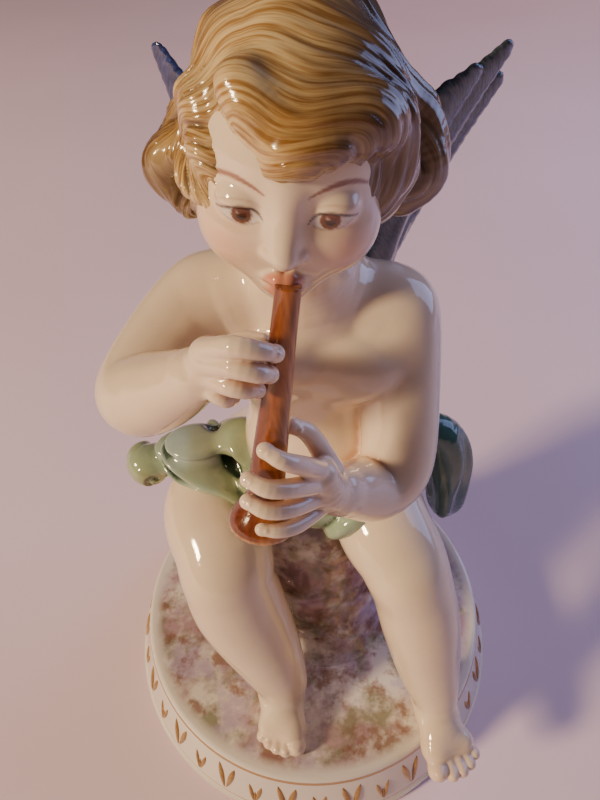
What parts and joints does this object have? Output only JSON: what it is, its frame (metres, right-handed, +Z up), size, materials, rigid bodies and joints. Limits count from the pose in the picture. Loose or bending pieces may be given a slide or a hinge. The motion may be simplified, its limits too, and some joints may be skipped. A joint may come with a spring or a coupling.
{
  "type": "porcelain figurine",
  "caption": "Glazed porcelain figurine of a seated winged child playing a pipe, on a rock and a round marbled plinth with a gilt leaf border.",
  "frame": {"origin": "centre of the plinth's flat underside", "axes": "+Z up; the figure faces -Y; its right hand is on the -X side"},
  "size_m": [0.088, 0.088, 0.1472],
  "materials": {
    "plinth_glaze": "glossy white glaze with painted marbling on the top face",
    "gilding": "fired gold, satin",
    "rock_glaze": "glossy glaze, mottled brown, green and violet",
    "flesh_glaze": "high-gloss ivory flesh glaze",
    "hair_glaze": "glossy glaze over brushed golden strands",
    "wing_glaze": "glossy slate-blue glaze with painted feathers",
    "drape_glaze": "glossy sea-green glaze",
    "pipe_glaze": "glossy russet wood-grain glaze"
  },
  "bodies": {
    "root": {"plinth": "plinth_glaze", "border_leaves": "gilding", "rock_seat": "rock_glaze", "torso": "flesh_glaze", "head": "flesh_glaze", "hair_cap": "hair_glaze", "right_side_curl": "hair_glaze", "left_side_curl": "hair_glaze", "nape_curl": "hair_glaze", "right_arm": "flesh_glaze", "right_hand": "flesh_glaze", "left_arm": "flesh_glaze", "left_hand": "flesh_glaze", "right_leg": "flesh_glaze", "right_foot": "flesh_glaze", "left_leg": "flesh_glaze", "left_foot": "flesh_glaze", "right_wing": "wing_glaze", "left_wing": "wing_glaze", "lap_drape": "drape_glaze", "drape_roll": "drape_glaze", "drape_tail": "drape_glaze", "pipe": "pipe_glaze"}
  },
  "joints": []
}
